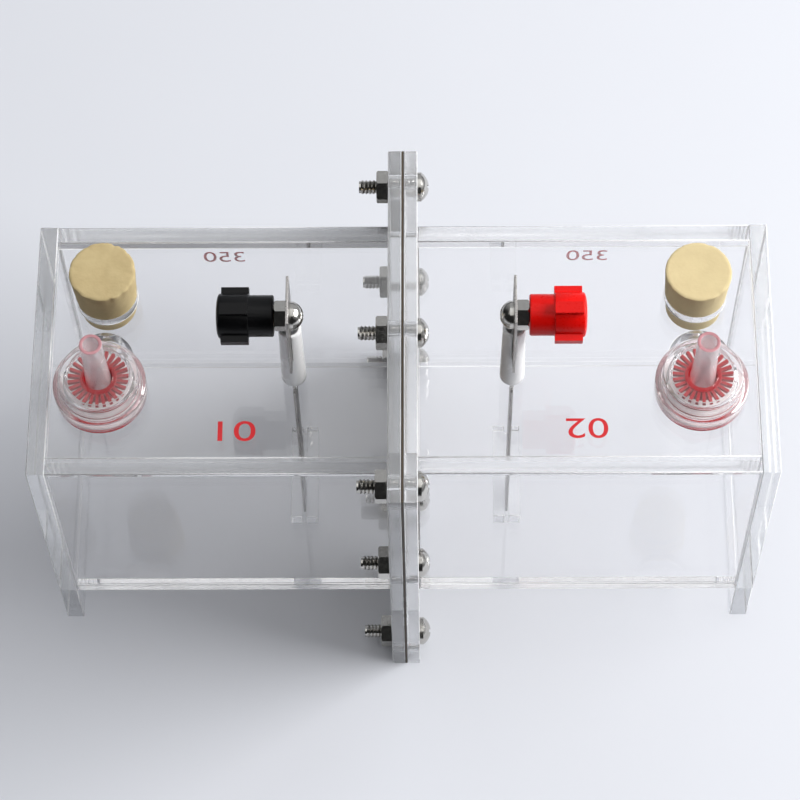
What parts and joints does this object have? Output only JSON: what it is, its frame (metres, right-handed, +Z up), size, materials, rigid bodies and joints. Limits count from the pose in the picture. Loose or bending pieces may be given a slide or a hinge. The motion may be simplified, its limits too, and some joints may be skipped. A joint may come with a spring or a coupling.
{
  "type": "membrane electrolysis cell",
  "caption": "Clear two-chamber electrolysis cell bolted together over a membrane, with electrode strips, screw terminals, rubber stoppers and nozzle gas outlets.",
  "frame": {"origin": "centre of the footprint on the table, in the plane of the membrane", "axes": "+X from the cathode chamber to the anode chamber, +Y away from the viewer, +Z up"},
  "size_m": [0.2, 0.105, 0.1432],
  "materials": {
    "clear_acrylic": "clear cast sheet, flame-bright faces and fine-sawn edges",
    "joint_gasket": "thin dark sealing film",
    "membrane_film": "thin amber ion-exchange film",
    "steel_fasteners": "bright stainless machine screws and nuts",
    "stainless_strip": "rolled stainless strip",
    "white_sleeve": "smooth white tube",
    "brass_insert": "turned brass",
    "black_knob": "moulded, satin",
    "red_knob": "moulded, glossy",
    "stopper_rubber": "matte tan rubber with fine speckle",
    "clear_outlet": "clear moulding",
    "red_outlet": "red moulding",
    "pink_nozzle": "translucent pink moulding"
  },
  "bodies": {
    "cell": {"cathode_floor": "clear_acrylic", "cathode_front_wall": "clear_acrylic", "cathode_back_wall": "clear_acrylic", "cathode_end_wall": "clear_acrylic", "cathode_foot": "clear_acrylic", "cathode_lid": "clear_acrylic", "cathode_flange": "clear_acrylic", "cathode_gasket": "joint_gasket", "anode_floor": "clear_acrylic", "anode_front_wall": "clear_acrylic", "anode_back_wall": "clear_acrylic", "anode_end_wall": "clear_acrylic", "anode_foot": "clear_acrylic", "anode_lid": "clear_acrylic", "anode_flange": "clear_acrylic", "anode_gasket": "joint_gasket", "membrane": "membrane_film", "flange_bolts": "steel_fasteners", "flange_nuts": "steel_fasteners", "cathode_strip": "stainless_strip", "cathode_sleeve": "white_sleeve", "cathode_holder": "clear_acrylic", "cathode_terminal_screw": "steel_fasteners", "cathode_terminal_nut": "steel_fasteners", "anode_strip": "stainless_strip", "anode_sleeve": "white_sleeve", "anode_holder": "clear_acrylic", "anode_terminal_screw": "steel_fasteners", "anode_terminal_nut": "steel_fasteners"},
    "cathode_insert_body": {"cathode_knob_insert": "brass_insert"},
    "cathode_knob_body": {"cathode_knob": "black_knob"},
    "cathode_stopper_body": {"cathode_stopper": "stopper_rubber"},
    "cathode_outlet_body": {"cathode_outlet_cap": "clear_outlet", "cathode_outlet_base": "clear_outlet", "cathode_outlet_ribs": "red_outlet", "cathode_outlet_nozzle": "pink_nozzle", "cathode_outlet_gasket": "red_outlet"},
    "anode_insert_body": {"anode_knob_insert": "brass_insert"},
    "anode_knob_body": {"anode_knob": "red_knob"},
    "anode_stopper_body": {"anode_stopper": "stopper_rubber"},
    "anode_outlet_body": {"anode_outlet_cap": "clear_outlet", "anode_outlet_base": "clear_outlet", "anode_outlet_ribs": "red_outlet", "anode_outlet_nozzle": "pink_nozzle", "anode_outlet_gasket": "red_outlet"}
  },
  "joints": [
    {"name": "cathode_knob_travel", "type": "slide", "parent": "cell", "child": "cathode_insert_body", "axis": [-1, 0, 0], "range_m": [0, 0.0035]},
    {"name": "cathode_knob_turn", "type": "hinge", "parent": "cathode_insert_body", "child": "cathode_knob_body", "pos_m": [-0.04, -0.0083, 0.1344], "axis": [-1, 0, 0], "range_deg": [0, 1800]},
    {"name": "cathode_stopper_lift", "type": "slide", "parent": "cell", "child": "cathode_stopper_body", "axis": [0, 0, 1], "range_m": [0, 0.04]},
    {"name": "cathode_outlet_lift", "type": "slide", "parent": "cell", "child": "cathode_outlet_body", "axis": [0, 0, 1], "range_m": [0, 0.04]},
    {"name": "anode_knob_travel", "type": "slide", "parent": "cell", "child": "anode_insert_body", "axis": [1, 0, 0], "range_m": [0, 0.0035]},
    {"name": "anode_knob_turn", "type": "hinge", "parent": "anode_insert_body", "child": "anode_knob_body", "pos_m": [0.04, -0.0083, 0.1344], "axis": [1, 0, 0], "range_deg": [0, 1800]},
    {"name": "anode_stopper_lift", "type": "slide", "parent": "cell", "child": "anode_stopper_body", "axis": [0, 0, 1], "range_m": [0, 0.04]},
    {"name": "anode_outlet_lift", "type": "slide", "parent": "cell", "child": "anode_outlet_body", "axis": [0, 0, 1], "range_m": [0, 0.04]}
  ],
  "couplings": [
    {"joint": "cathode_knob_turn", "follows": "cathode_knob_travel", "rad_per_m": 8976},
    {"joint": "anode_knob_turn", "follows": "anode_knob_travel", "rad_per_m": 8976}
  ]
}
